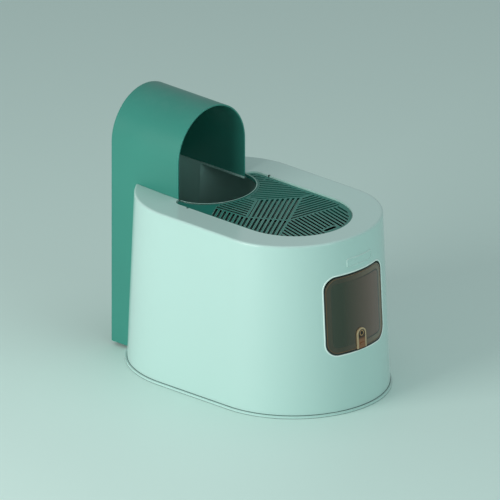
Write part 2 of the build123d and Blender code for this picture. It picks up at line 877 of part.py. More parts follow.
# Raised plate above the door
def make_front_plate():
    with BuildSketch(Plane.YZ) as field:
        with Locations((plate_centre_y, plate_centre_z)):
            RectangleRounded(2 * plate_half_length, 2 * plate_half_height, plate_corner)
    with BuildSketch(Plane.YZ) as border:
        with Locations((plate_centre_y, plate_centre_z)):
            RectangleRounded(2 * plate_half_length, 2 * plate_half_height, plate_corner)
            Rectangle(
                2 * (plate_half_length - plate_border),
                2 * (plate_half_height - plate_border),
                mode=Mode.SUBTRACT,
            )
    plate = front_piece(-glue_gap - plate_thickness, -glue_gap, field.sketch)
    raised = front_piece(
        -glue_gap - plate_thickness - plate_border_rise,
        -glue_gap - plate_thickness / 2,
        border.sketch,
    )
    with BuildPart() as front_plate:
        add(plate)
        add(raised)
    front_plate.part.label = "front_plate"
    export_step(front_plate.part, "parts/front_plate.step")


bracket_corner_x = front_surface_x(
    bracket_bottom + bracket_height,
    bracket_inner + bracket_width,
    shell_wall,
)
rod_x = bracket_corner_x - bracket_wall_gap - bracket_thickness / 2
bracket_plane_x = rod_x + bracket_thickness / 2 + running_gap
sill_pocket_x = front_surface_x(sill_magnet_z + magnet_height / 2, magnet_half_length, shell_wall)
flap_pocket_x = front_surface_x(
    flap_magnet_z + magnet_height / 2,
    magnet_half_length,
    flap_skin + running_gap + magnet_skin,
)

make_base_tray()
make_feet()
make_body_shell()
make_hood()
make_grate_lid()
make_lid_pins()
make_door_flap()
make_hinge_rod()
make_rod_brackets()
make_bracket_screws()
make_rod_clips()
make_latch_frame()
make_latch_slider()
make_latch_backplate()
make_magnets()
make_front_plate()
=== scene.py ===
"""Looks of the semi-enclosed litter box: moulded plastics, tinted door, latch, trim and studio.

Everything is in metres in the model's own frame: +X towards the door, +Z up, floor at Z 0.
"""

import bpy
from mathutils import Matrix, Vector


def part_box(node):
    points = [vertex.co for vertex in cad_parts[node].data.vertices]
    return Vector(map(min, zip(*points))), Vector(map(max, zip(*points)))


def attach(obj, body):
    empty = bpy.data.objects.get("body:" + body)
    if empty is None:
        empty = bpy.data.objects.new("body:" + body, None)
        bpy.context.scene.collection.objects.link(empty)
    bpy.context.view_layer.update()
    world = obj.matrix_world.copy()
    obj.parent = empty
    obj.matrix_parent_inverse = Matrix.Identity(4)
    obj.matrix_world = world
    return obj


bl_info = {
    "name": "Semi-enclosed litter box",
    "version": (1, 0, 0),
    "blender": (4, 5, 0),
    "location": "View3D > Sidebar > Litter box",
    "description": "Finishes, trim and studio of a litter box with an arched hood and a swing door",
    "category": "Object",
}

from math import ceil, cos, pi, sin, sqrt

import bmesh
import bpy
from bpy.props import FloatProperty, FloatVectorProperty, PointerProperty
from bpy.types import Operator, Panel, PropertyGroup
from mathutils import Matrix, Vector

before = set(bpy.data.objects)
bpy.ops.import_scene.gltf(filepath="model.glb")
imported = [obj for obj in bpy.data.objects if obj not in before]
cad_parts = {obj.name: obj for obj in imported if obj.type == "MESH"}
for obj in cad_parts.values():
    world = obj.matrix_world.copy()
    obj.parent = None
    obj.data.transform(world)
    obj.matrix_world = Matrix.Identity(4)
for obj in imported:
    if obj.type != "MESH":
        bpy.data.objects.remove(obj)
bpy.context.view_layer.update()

MM = 0.001

# Tapered body: its outside at the foot, how much its walls draw in up to the rim, the height
# above which the pan's floor gets painted shade (NO_FLOOR is above everything), and the painted
# shadow lines at the foot
shell_low, shell_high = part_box("body_shell")
SHELL_BOTTOM = shell_low.z
RIM_TOP = shell_high.z
FRONT_LOW = shell_high.x
HALF_WIDTH_LOW = shell_high.y
SIDE_DRAFT = 7.9 * MM
FRONT_DRAFT = 20.0 * MM
FRONT_REACH_LOW = 192.0 * MM
FRONT_REACH_HIGH = 172.4 * MM
BACK_LOW = -285.6 * MM
BACK_REACH_LOW = 201.0 * MM
PAN_FLOOR = 6.2 * MM
NO_FLOOR = 1.0
# Painted shadow lines: in the seam above the foot flange, and the contact shadow under it
FOOT_SHADOW_OUTSET = 0.2 * MM
FOOT_SHADOW_RISE = 0.1 * MM
FLANGE_SHADOW_OUTSET = 3.5 * MM
FLANGE_SHADOW_Z = 0.5 * MM

# Door opening, flap and plate on the curved front end
DOOR_HALF_WIDTH = 86.3 * MM
DOOR_BOTTOM = 124.2 * MM
DOOR_TOP = 296.8 * MM
DOOR_CORNER = 28.8 * MM
DOOR_SHADOW_DEPTH = 1.2 * MM
FLAP_HALF_WIDTH = 83.5 * MM
FLAP_BOTTOM = 127.5 * MM
FLAP_TOP = 293.0 * MM
FLAP_CORNER = 26.0 * MM
FLAP_TOP_CORNER = 31.0 * MM
FLAP_BEAD_DEPTH = 0.5 * MM
PLATE_RISE = 0.8 * MM
PLATE_CORNER = 2.0 * MM

# Colour bands of the flap: where each one starts and where it is full
TINT_CHANGE = (-45.0 * MM, 45.0 * MM)
BORDER_BLUR = 2.5 * MM
BORDER_LINE = (2.2 * MM, 0.6 * MM)
# Painted shadow along the flap's outer edge, where the gap's shade falls
FLAP_RIM_SHADOW = (2.3 * MM, 1.5 * MM)

# Latch on the flap, and the dip of the door bead where its locked slide passes
LATCH_FACE = 2.3 * MM
LATCH_RECESS_Z = 161.0 * MM
LATCH_GRIP = (LATCH_RECESS_Z - 8.0 * MM, LATCH_RECESS_Z - 14.0 * MM)
LATCH_RING_RADIUS = 5.2 * MM
LATCH_RING_HALF_WIDTH = 0.7 * MM
LATCH_RING_LIFT = 0.1 * MM
LATCH_RECESS_HALF = 2.1 * MM
LATCH_TRIM_HEIGHT = 0.35 * MM
LATCH_PASSAGE = 13.0 * MM
LATCH_DIP = 0.7 * MM
LATCH_DIP_RAMP = 3.0 * MM

# Half-oval entrance of the lid, along which the painted highlight line runs, and the open slots for
# the lid's pins in the rim, painted dark as their shade
LID_BACK = -118.0 * MM
LIP_TOP = 366.5 * MM
LIP_REACH = 82.25 * MM
LIP_HALF_WIDTH = 98.25 * MM
PIN_SLOT_X = -74.0 * MM
PIN_SLOT_Y = 121.9 * MM
PIN_SLOT_RADIUS = 2.4 * MM
PIN_SLOT_BLUR = 0.6 * MM
PIN_SLOT_FLOOR = 350.0 * MM

# Heights and depths of the trim, as shares of its radius
BEAD_HEIGHT = 0.7
BEAD_SINK = 0.2
PLATE_HIGHLIGHT_SINK = 0.6
LIP_HIGHLIGHT_HEIGHT = 0.6

# How finely the trim is divided
NORMAL_STEP = 0.5 * MM
OUTLINE_STEP = 1.5 * MM
TUBE_SIDES = 10
FOOT_STEPS = 72
LIP_STEPS = 60
PLATE_STEPS = 24
RING_STEPS = 24

# Values that are the same for every finish
BEVEL_SAMPLES = 4
GRAIN_STRENGTH = 0.35
PLASTIC_IOR = 1.49
COAT_ROUGHNESS = 0.08
DUST_COLOUR = (0.62, 0.66, 0.63, 1.0)

# Lamps: name, direction from the box, distance, side, power and colour
LAMPS = (
    ("key_light", (-0.16, -0.93, 0.31), 3.2, 2.0, 66.0, (1.0, 0.985, 0.955)),
    ("door_fill", (0.92, -0.10, 0.30), 3.2, 1.6, 17.5, (0.78, 1.0, 0.97)),
    ("top_fill", (0.05, 0.15, 1.0), 3.0, 2.4, 12.0, (1.0, 1.0, 1.0)),
)
LAMP_AIM = Vector((0, 0, 0.25))
WORLD_COLOUR = (0.93, 0.97, 1.0, 1.0)
WORLD_STRENGTH = 0.34
FLOOR_ROUGHNESS = 0.55

# Camera: parallel view from 43 degrees round and 22 degrees up
VIEW_RIGHT = Vector((0.7308, 0.6826, 0.0)).normalized()
VIEW_BACK = Vector((0.6330, -0.6777, 0.3743)).normalized()
VIEW_UP = VIEW_BACK.cross(VIEW_RIGHT).normalized()
VIEW_CENTRE = VIEW_RIGHT * 0.07809 + VIEW_UP * 0.21086 - Vector((0.121, 0, 0))
VIEW_END = 30.0


def colour_property(label, words, value):
    return FloatVectorProperty(
        name=label, description=words, subtype="COLOR", size=3, min=0.0, max=1.0, default=value
    )


def length_property(label, words, value):
    return FloatProperty(
        name=label, description=words, subtype="DISTANCE", unit="LENGTH", min=0.0, default=value
    )


class LitterBoxColours(PropertyGroup):
    """Base colours of the finishes."""

    shell: colour_property(
        "Shell", "Pale mint plastic of the body, tray and plate", (0.500, 0.722, 0.675)
    )
    # Inside: painted shade, the duller colour of the inner faces and the pan's floor stands in for
    # their shade
    inside: colour_property(
        "Inside", "Duller inner faces of the body and the pan", (0.38, 0.63, 0.57)
    )
    hood: colour_property("Hood", "Green plastic of the hood", (0.037, 0.264, 0.208))
    grate: colour_property("Grate", "Green plastic of the slotted lid", (0.013, 0.200, 0.155))
    # Lid edges: painted sheen, the paler colour stands in for the bars' reflection towards the door
    # and near side
    grate_edge_sheen: colour_property(
        "Lid edges", "Paler worn edges of the lid's bars", (0.34, 0.58, 0.50)
    )
    # Slot walls: painted shade inside the lid's slots, darkest where the lid carries its painted
    # sheen
    slot: colour_property(
        "Slot walls", "Shaded walls of the lid's slots in its used area", (0.001, 0.008, 0.006)
    )
    slot_far_shade: colour_property(
        "Other slot walls", "Walls of the lid's other slots", (0.007, 0.120, 0.092)
    )
    # Entrance lip: painted highlight, a pale line standing in for the light on the lid's entrance
    # edge
    lip_highlight: colour_property(
        "Entrance lip", "Pale line along the lid's entrance", (0.36, 0.60, 0.53)
    )
    tint: colour_property(
        "Door tint", "Green-grey tint of the swing door's near side", (0.028, 0.040, 0.019)
    )
    tint_far: colour_property(
        "Door tint, far side", "Warm tint of the swing door's far side", (0.165, 0.098, 0.074)
    )
    border: colour_property(
        "Door border", "Brown border of the swing door", (0.085, 0.055, 0.032)
    )
    border_far: colour_property(
        "Door border, far side", "Olive border at the swing door's far side", (0.19, 0.155, 0.10)
    )
    # Also the colour of the painted shadow along the flap's outer edge
    border_line_and_rim_shadow: colour_property(
        "Door border line", "Dark line inside the border", (0.012, 0.012, 0.008)
    )
    bronze: colour_property(
        "Bronze line", "Bronze line around the swing door", (0.17, 0.090, 0.038)
    )
    # Door bead: the bead is the opening's rounded lip; its pale colour is a painted highlight
    bead: colour_property(
        "Door bead", "Pale bead around the door opening", (0.80, 0.97, 0.92)
    )
    # Door gap: painted shadow, a dark line put in the gap around the swing door where shade falls
    gap: colour_property(
        "Door gap", "Dark line in the gap around the swing door", (0.004, 0.006, 0.005)
    )
    latch: colour_property(
        "Latch", "Dark amber plastic of the latch slide's upper part", (0.045, 0.018, 0.007)
    )
    latch_low: colour_property(
        "Latch grip", "Lighter amber of the slide's lower part", (0.25, 0.105, 0.045)
    )
    latch_ring: colour_property(
        "Latch ring", "Gold ring on the latch slide", (0.55, 0.34, 0.15)
    )
    # Latch recess: painted shade, a dark disc standing in for the shade in the recess
    latch_recess_shade: colour_property(
        "Latch recess", "Dark recess shade inside that ring", (0.006, 0.003, 0.002)
    )
    latch_frame: colour_property(
        "Latch surround", "Bronze surround of the latch", (0.56, 0.41, 0.23)
    )
    # Cream edges: painted highlight on the surround's edges
    latch_edge_highlight: colour_property(
        "Latch surround edges", "Cream edges of the surround", (0.80, 0.67, 0.48)
    )
    latch_back: colour_property(
        "Latch back plate", "Dark brown plate behind the flap", (0.035, 0.028, 0.02)
    )
    # Painted shadow: dark green of the lines put in the seam at the foot and under the foot flange
    seam: colour_property(
        "Seam", "Dark green of the lines around the foot", (0.010, 0.075, 0.060)
    )
    bracket: colour_property(
        "Brackets", "Pale plastic of the rod brackets", (0.60, 0.64, 0.60)
    )
    rubber: colour_property("Rubber", "Dark rubber of the feet", (0.012, 0.012, 0.012))
    steel: colour_property("Steel", "Bare steel of the rod, pins and screws", (0.52, 0.53, 0.54))
    floor: colour_property("Floor", "Pale studio floor", (0.66, 0.88, 0.82))


class LitterBoxSizes(PropertyGroup):
    """Sizes of the trim and the studio."""

    door_bead: length_property(
        "Door bead", "Radius of the rounded bead around the door opening", 1.7 * MM
    )
    door_shadow: length_property(
        "Door shadow line", "Radius of the dark line inside that bead", 1.0 * MM
    )
    flap_bead: length_property(
        "Flap bead", "Radius of the raised line around the flap", 0.6 * MM
    )
    flap_bead_inset: length_property(
        "Flap bead inset", "Distance of that line from the flap's edge", 3.2 * MM
    )
    flap_band: length_property("Flap border", "Width of the brown border of the flap", 15.0 * MM)
    # Painted shadow: radius of the dark line in the seam at the body's foot
    seam: length_property("Seam", "Radius of the dark line around the body's foot", 0.6 * MM)
    # Painted contact shadow: radius of the dark line under the foot flange
    flange_shadow_line: length_property(
        "Flange line", "Radius of the dark line under the foot flange", 0.45 * MM
    )
    # Plate highlight: radius of the painted highlight line on the plate's edges
    plate_highlight: length_property(
        "Plate line", "Radius of the pale line along the plate's edges", 0.55 * MM
    )
    # Painted highlight: radius of the pale line along the lid's entrance
    lip_highlight_line: length_property(
        "Lip line", "Radius of the pale line along the lid's entrance", 0.7 * MM
    )
    view_width: length_property(
        "View width", "Width of the scene that the camera shows", 1.0167
    )
    camera_distance: length_property(
        "Camera distance", "Distance of the camera from the box", 3.0
    )
    floor_half: length_property("Floor half size", "Half the side of the studio floor", 6.0)


def colours():
    return bpy.context.scene.litter_box_colours


def sizes():
    return bpy.context.scene.litter_box_sizes


# Shapes that follow the tapered body


def spaced(start, run, steps):
    """Evenly spaced values from start to start + run, both included."""
    return [start + run * i / steps for i in range(steps + 1)]


def front_surface_x(z, y, inset=0.0):
    """X of the body's curved front end at height z and side distance y."""
    rise = (z - SHELL_BOTTOM) / (RIM_TOP - SHELL_BOTTOM)
    half_width = HALF_WIDTH_LOW - SIDE_DRAFT * rise - inset
    front = FRONT_LOW - FRONT_DRAFT * rise - inset
    reach = FRONT_REACH_LOW + (FRONT_REACH_HIGH - FRONT_REACH_LOW) * rise - inset
    return front - reach + reach * sqrt(max(0.0, 1.0 - (y / half_width) ** 2))


def surface_normal(y, z):
    """Outward normal of the curved front end."""
    step = NORMAL_STEP
    slope_y = (front_surface_x(z, y + step) - front_surface_x(z, y - step)) / (2 * step)
    slope_z = (front_surface_x(z + step, y) - front_surface_x(z - step, y)) / (2 * step)
    return Vector((1.0, -slope_y, -slope_z)).normalized()


def rounded_outline(half_width, low, high, corner, top_corner=None):
    """Closed list of (y, z) points along a rectangle with rounded corners, evenly spaced."""
    top_corner = top_corner or corner
    corners = (
        (half_width - top_corner, high - top_corner, top_corner, 0.0),
        (-half_width + top_corner, high - top_corner, top_corner, pi / 2),
        (-half_width + corner, low + corner, corner, pi),
        (half_width - corner, low + corner, corner, 3 * pi / 2),
    )
    points = []
    for number, (y, z, radius, start) in enumerate(corners):
        count = max(4, ceil(radius * pi / 2 / OUTLINE_STEP))
        points += [(y + radius * cos(a), z + radius * sin(a)) for a in spaced(start, pi / 2, count)]
        begin_y, begin_z = points[-1]
        y, z, radius, start = corners[(number + 1) % len(corners)]
        run_y = y + radius * cos(start) - begin_y
        run_z = z + radius * sin(start) - begin_z
        count = max(1, ceil(sqrt(run_y**2 + run_z**2) / OUTLINE_STEP))
        straight = zip(spaced(begin_y, run_y, count), spaced(begin_z, run_z, count))
        points += list(straight)[1:-1]
    return points


def half_oval(centre_x, reach, half_width, z, start, steps):
    """List of (point, outward direction) along half an oval that begins at the angle start."""
    places = []
    for turn in spaced(start, pi, steps):
        point = Vector((centre_x + reach * cos(turn), half_width * sin(turn), z))
        outward = Vector((half_width * cos(turn), reach * sin(turn), 0.0)).normalized()
        places.append((point, outward))
    return places


def object_from_mesh(name, mesh):
    for polygon in mesh.polygons:
        polygon.use_smooth = True
    piece = bpy.data.objects.new(name, mesh)
    bpy.context.scene.collection.objects.link(piece)
    return piece


def tube(name, places, closed=True):
    """Tube along places of (centre, across, out), the last two being its radii as vectors."""
    mesh = bpy.data.meshes.new(name)
    shape = bmesh.new()
    turns = [2 * pi * side / TUBE_SIDES for side in range(TUBE_SIDES)]
    rings = [
        [shape.verts.new(centre + across * cos(turn) + out * sin(turn)) for turn in turns]
        for centre, across, out in places
    ]
    pairs = list(zip(rings, rings[1:])) + ([(rings[-1], rings[0])] if closed else [])
    for ring, following in pairs:
        for side in range(TUBE_SIDES):
            after = (side + 1) % TUBE_SIDES
            shape.faces.new((ring[side], ring[after], following[after], following[side]))
    if not closed:
        shape.faces.new(rings[0])
        shape.faces.new(rings[-1])
    bmesh.ops.recalc_face_normals(shape, faces=shape.faces)
    shape.to_mesh(mesh)
    shape.free()
    return object_from_mesh(name, mesh)


def bead_around(name, outline, inset, radius, height, sink=0.0, dip=None):
    """Rounded bead along a (y, z) outline on the curved front end.

    inset is its depth in the surface, sink lowers its middle, and dip(y, z) sinks it further.
    """
    places = []
    for number, (y, z) in enumerate(outline):
        before_y, before_z = outline[number - 1]
        after_y, after_z = outline[(number + 1) % len(outline)]
        normal = surface_normal(y, z)
        ahead = Vector((front_surface_x(after_z, after_y, inset), after_y, after_z))
        back = Vector((front_surface_x(before_z, before_y, inset), before_y, before_z))
        across = (ahead - back).normalized().cross(normal).normalized()
        depth = sink + (dip(y, z) if dip else 0.0)
        centre = Vector((front_surface_x(z, y, inset), y, z)) - normal * depth
        places.append((centre, across * radius, normal * height))
    return tube(name, places)


def under_latch(y, z):
    """Extra sink of the door bead where the latch slide passes over it when it is locked."""
    if z > DOOR_BOTTOM + DOOR_CORNER / 2:
        return 0.0
    inside = (LATCH_PASSAGE + LATCH_DIP_RAMP - abs(y)) / LATCH_DIP_RAMP
    return LATCH_DIP * min(1.0, max(0.0, inside))


def foot_ring(name, outset, z, radius):
    """Thin ring around the body's foot, at a distance outside the body's lower edge."""
    half_width = HALF_WIDTH_LOW + outset
    places = []
    for centre_x, reach, start in (
        (FRONT_LOW - FRONT_REACH_LOW, FRONT_REACH_LOW, -pi / 2),
        (BACK_LOW + BACK_REACH_LOW, BACK_REACH_LOW, pi / 2),
    ):
        arc = half_oval(centre_x, reach + outset, half_width, z, start, FOOT_STEPS)
        places += [(point, outward * radius, Vector((0, 0, radius))) for point, outward in arc]
    return tube(name, places)


# Shader nodes: every value may be a number, a tuple or another node's socket


def feed(tree, socket, value):
    if hasattr(value, "links"):
        tree.links.new(value, socket)
    else:
        socket.default_value = value


def math_node(tree, operation, first, second=None, clamp=False):
    node = tree.nodes.new("ShaderNodeMath")
    node.operation = operation
    node.use_clamp = clamp
    feed(tree, node.inputs[0], first)
    if second is not None:
        feed(tree, node.inputs[1], second)
    return node.outputs[0]


def vector_node(tree, operation, first, second=None, result="Vector"):
    node = tree.nodes.new("ShaderNodeVectorMath")
    node.operation = operation
    feed(tree, node.inputs[0], first)
    if second is not None:
        feed(tree, node.inputs[1], second)
    return node.outputs[result]


def range_node(tree, value, low, high, to_low=0.0, to_high=1.0):
    """Value brought from the range low to high to the range to_low to to_high, and kept in it."""
    node = tree.nodes.new("ShaderNodeMapRange")
    feed(tree, node.inputs["Value"], value)
    feed(tree, node.inputs["From Min"], low)
    feed(tree, node.inputs["From Max"], high)
    feed(tree, node.inputs["To Min"], to_low)
    feed(tree, node.inputs["To Max"], to_high)
    return node.outputs["Result"]


def mix_colours(tree, factor, first, second):
    node = tree.nodes.new("ShaderNodeMix")
    node.data_type = "RGBA"
    for number, value in ((0, factor), (6, first), (7, second)):
        feed(tree, node.inputs[number], value)
    return node.outputs[2]


def place_of(tree):
    """Place on the piece in metres, which moves with the piece."""
    return tree.nodes.new("ShaderNodeTexCoord").outputs["Object"]


def normal_of(tree):
    return tree.nodes.new("ShaderNodeTexCoord").outputs["Normal"]


def axis_of(tree, vector, axis):
    node = tree.nodes.new("ShaderNodeSeparateXYZ")
    tree.links.new(vector, node.inputs[0])
    return node.outputs[axis]


def noise_node(tree, scale, detail, rough=0.5, stretch=None):
    """Noise on the piece's own coordinates, in features per metre."""
    where = place_of(tree)
    if stretch:
        mapping = tree.nodes.new("ShaderNodeMapping")
        mapping.inputs["Scale"].default_value = stretch
        tree.links.new(where, mapping.inputs["Vector"])
        where = mapping.outputs["Vector"]
    node = tree.nodes.new("ShaderNodeTexNoise")
    tree.links.new(where, node.inputs["Vector"])
    feed(tree, node.inputs["Scale"], scale)
    feed(tree, node.inputs["Detail"], detail)
    feed(tree, node.inputs["Roughness"], rough)
    return node.outputs["Fac"]


# Node groups for the effects that several finishes share


def new_group(name, inputs, output, kind="NodeSocketFloat"):
    """Empty node group with inputs {name: default}: the group, its inputs and its output."""
    group = bpy.data.node_groups.new(name, "ShaderNodeTree")
    for label, value in inputs.items():
        given = "NodeSocketColor" if isinstance(value, tuple) else "NodeSocketFloat"
        socket = group.interface.new_socket(label, in_out="INPUT", socket_type=given)
        socket.default_value = value
    group.interface.new_socket(output, in_out="OUTPUT", socket_type=kind)
    given = group.nodes.new("NodeGroupInput").outputs
    result = group.nodes.new("NodeGroupOutput").inputs[output]
    return group, given, result


def moulded_grain_group():
    """Fine orange peel of moulded plastic over broad sink marks, as a height."""
    inputs = {"Scale": 700.0, "Sink scale": 14.0}
    group, given, result = new_group("Moulded grain", inputs, "Height")
    fine = noise_node(group, given["Scale"], detail=2.0)
    broad = noise_node(group, given["Sink scale"], detail=1.0)
    sinks = math_node(group, "MULTIPLY", broad, 0.8)
    group.links.new(math_node(group, "ADD", fine, sinks), result)
    return group


def gloss_patches_group():
    """Roughness that drifts between two values, with faint wiping marks."""
    inputs = {"Smooth": 0.25, "Rough": 0.4, "Scale": 9.0}
    group, given, result = new_group("Gloss patches", inputs, "Roughness")
    drift = math_node(group, "MULTIPLY", noise_node(group, given["Scale"], detail=1.0), 0.88)
    streaks = noise_node(group, 30.0, detail=3.0, stretch=(1.0, 1.0, 2.5))
    both = math_node(group, "ADD", drift, math_node(group, "MULTIPLY", streaks, 0.12))
    group.links.new(range_node(group, both, 0.3, 0.7, given["Smooth"], given["Rough"]), result)
    return group


# Paler edges from this mask are wear on most finishes and a painted highlight on the hood, lid,
# plate and latch surround
def edge_wear_and_highlight_group():
    """Mask of the part's edges, broken up by noise; Full is the bend at which it is whole."""
    inputs = {"Width": 0.0012, "Amount": 1.0, "Full": 0.72}
    group, given, result = new_group("Edge wear and highlight", inputs, "Mask")
    bevel = group.nodes.new("ShaderNodeBevel")
    bevel.samples = BEVEL_SAMPLES
    group.links.new(given["Width"], bevel.inputs["Radius"])
    flat = group.nodes.new("ShaderNodeNewGeometry").outputs["Normal"]
    bend = vector_node(group, "DOT_PRODUCT", bevel.outputs["Normal"], flat, "Value")
    edge = range_node(group, bend, 0.98, given["Full"])
    broken = range_node(group, noise_node(group, 160.0, detail=4.0), 0.35, 0.6, to_low=0.45)
    wear_or_highlight = math_node(group, "MULTIPLY", edge, broken)
    group.links.new(math_node(group, "MULTIPLY", wear_or_highlight, given["Amount"], clamp=True), result)
    return group


def settled_dust_group():
    """Mask of the faces that look up, thin and patchy."""
    group, given, result = new_group("Settled dust", {"Amount": 0.1, "Scale": 45.0}, "Mask")
    upward = range_node(group, axis_of(group, normal_of(group), "Z"), 0.6, 1.0)
    specks = noise_node(group, given["Scale"], detail=5.0, rough=0.65)
    patchy = range_node(group, specks, 0.42, 0.68, to_low=0.25)
    settled = math_node(group, "MULTIPLY", upward, patchy)
    group.links.new(math_node(group, "MULTIPLY", settled, given["Amount"], clamp=True), result)
    return group


def colour_drift_group():
    """Base colour that drifts slightly between two shades."""
    inputs = {"Base": (0.5, 0.5, 0.5, 1.0), "Shade": (0.4, 0.4, 0.4, 1.0), "Scale": 5.0}
    group, given, result = new_group("Colour drift", inputs, "Color", "NodeSocketColor")
    drift = range_node(group, noise_node(group, given["Scale"], detail=1.0), 0.3, 0.7)
    group.links.new(mix_colours(group, drift, given["Base"], given["Shade"]), result)
    return group


def inner_shade_group():
    """Mask of painted shade: the faces that look down or towards the body's axis, and floors above
    a height.
    """
    group, given, result = new_group("Inner shade", {"Floor": NO_FLOOR}, "Mask")
    place, normal = place_of(group), normal_of(group)
    flat = vector_node(group, "MULTIPLY", place, (1.0, 1.0, 0.0))
    outward = vector_node(group, "NORMALIZE", flat)
    facing = vector_node(group, "DOT_PRODUCT", outward, normal, "Value")
    inward = range_node(group, facing, -0.35, -0.55)
    tilt = axis_of(group, normal, "Z")
    downward = range_node(group, tilt, -0.6, -0.9)
    above = math_node(group, "GREATER_THAN", axis_of(group, place, "Z"), given["Floor"])
    floor = math_node(group, "MULTIPLY", range_node(group, tilt, 0.7, 0.9), above)
    walls = math_node(group, "MAXIMUM", inward, downward)
    group.links.new(math_node(group, "MAXIMUM", walls, floor), result)
    return group


def upright_faces_group():
    """Mask of the upright faces, such as the walls of slots."""
    group, given, result = new_group("Upright faces", {"Limit": 0.5}, "Mask")
    tilt = math_node(group, "ABSOLUTE", axis_of(group, normal_of(group), "Z"))
    group.links.new(range_node(group, tilt, given["Limit"], 0.2), result)
    return group


def sheen_area_group():
    """Mask of the lid's area towards the door and the near side, where its bar edges get a painted
    sheen and its slot walls a darker painted shade.
    """
    group, given, result = new_group("Sheen area", {"Rest": 0.25}, "Mask")
    along = vector_node(group, "DOT_PRODUCT", place_of(group), (0.42, -0.91, 0.0), "Value")
    group.links.new(range_node(group, along, -0.03, 0.05, to_low=given["Rest"]), result)
    return group


def door_border_group():
    """Distance inside the flap's outline in metres, positive towards the middle."""
    group, given, result = new_group("Door border", {"Corner": FLAP_CORNER}, "Distance")
    middle = (0.0, 0.0, (FLAP_BOTTOM + FLAP_TOP) / 2)
    half_height = (FLAP_TOP - FLAP_BOTTOM) / 2
    straight = (0.0, FLAP_HALF_WIDTH - FLAP_CORNER, half_height - FLAP_CORNER)
    from_middle = vector_node(group, "SUBTRACT", place_of(group), middle)
    local = vector_node(group, "MULTIPLY", from_middle, (0.0, 1.0, 1.0))
    beyond = vector_node(group, "SUBTRACT", vector_node(group, "ABSOLUTE", local), straight)
    past = vector_node(group, "MAXIMUM", beyond, (0.0, 0.0, 0.0))
    outside = vector_node(group, "LENGTH", past, result="Value")
    larger = math_node(group, "MAXIMUM", axis_of(group, beyond, "Y"), axis_of(group, beyond, "Z"))
    inside = math_node(group, "MINIMUM", larger, 0.0)
    reach = math_node(group, "ADD", outside, inside)
    group.links.new(math_node(group, "SUBTRACT", given["Corner"], reach), result)
    return group


EFFECTS = {
    "Moulded grain": moulded_grain_group,
    "Gloss patches": gloss_patches_group,
    "Edge wear and highlight": edge_wear_and_highlight_group,
    "Settled dust": settled_dust_group,
    "Colour drift": colour_drift_group,
    "Inner shade": inner_shade_group,
    "Upright faces": upright_faces_group,
    "Sheen area": sheen_area_group,
    "Door border": door_border_group,
}


def effect(tree, name, **values):
    """Output of a shared node group that is placed in a material, with its inputs set."""
    node = tree.nodes.new("ShaderNodeGroup")
    node.node_tree = bpy.data.node_groups.get(name) or EFFECTS[name]()
    for label, value in values.items():
        node.inputs[label.capitalize()].default_value = value
    return node.outputs[0]


# Finishes


def rgba(colour, factor=1.0):
    """Colour times a factor, with an alpha of 1."""
    return tuple(min(1.0, channel * factor) for channel in colour[:3]) + (1.0,)


def finish_material(
    name,
    colour,
    drift=0.90,
    smooth=0.25,
    rough=0.38,
    grain=700.0,
    grain_height=0.002 * MM,
    edge_gain=1.25,
    edge_width=1.0 * MM,
    edge_colour=None,
    edge_amount=0.55,
    edge_full=0.72,
    edge_area=None,
    round_edges=0.6 * MM,
    dust=0.08,
    coat=0.0,
    metallic=0.0,
    drawn=False,
    transmission=0.0,
    overlay=None,
):
    """Procedural finish: drifting colour, paler edges that are wear on most finishes and a painted
    highlight on the hood, lid, plate and latch surround, thin dust, patchy gloss and grain.

    edge_area names a mask of the edges, drawn gives the grain of drawn metal, and
    overlay(tree, base) puts another colour over part of the surface.
    """
    found = bpy.data.materials.get(name)
    if found:
        return found
    material = bpy.data.materials.new(name)
    material.use_nodes = True
    tree = material.node_tree
    shader = tree.nodes["Principled BSDF"]

    base = effect(tree, "Colour drift", base=rgba(colour), shade=rgba(colour, drift))
    if edge_gain != 1.0:
        edge = effect(tree, "Edge wear and highlight", width=edge_width, amount=edge_amount, full=edge_full)
        if edge_area:
            edge = math_node(tree, "MULTIPLY", edge, effect(tree, edge_area))
        # Wear colour, and a painted highlight where the gain or edge colour is strong
        wear_or_highlight = rgba(edge_colour) if edge_colour else rgba(colour, edge_gain)
        base = mix_colours(tree, edge, base, wear_or_highlight)
    if dust:
        base = mix_colours(tree, effect(tree, "Settled dust", amount=dust), base, DUST_COLOUR)
    if overlay:
        base = overlay(tree, base)
    tree.links.new(base, shader.inputs["Base Color"])

    gloss = effect(tree, "Gloss patches", smooth=smooth, rough=rough)
    tree.links.new(gloss, shader.inputs["Roughness"])
    bump = tree.nodes.new("ShaderNodeBump")
    bump.inputs["Strength"].default_value = GRAIN_STRENGTH
    bump.inputs["Distance"].default_value = grain_height
    if drawn:
        height = noise_node(tree, 300.0, detail=3.0, rough=0.6, stretch=(4.0, 0.15, 4.0))
    else:
        height = effect(tree, "Moulded grain", scale=grain)
    tree.links.new(height, bump.inputs["Height"])
    if round_edges:
        bevel = tree.nodes.new("ShaderNodeBevel")
        bevel.samples = BEVEL_SAMPLES
        bevel.inputs["Radius"].default_value = round_edges
        tree.links.new(bevel.outputs["Normal"], bump.inputs["Normal"])
    tree.links.new(bump.outputs["Normal"], shader.inputs["Normal"])

    shader.inputs["Metallic"].default_value = metallic
    shader.inputs["IOR"].default_value = PLASTIC_IOR
    shader.inputs["Coat Weight"].default_value = coat
    shader.inputs["Coat Roughness"].default_value = COAT_ROUGHNESS
    shader.inputs["Transmission Weight"].default_value = transmission
    return material


def trim_plastic(name, colour, smooth=0.2, rough=0.3, coat=0.0):
    return finish_material(
        name, colour, drift=0.92, smooth=smooth, rough=rough, coat=coat,
        edge_gain=1.0, round_edges=0.0, dust=0.0,
    )


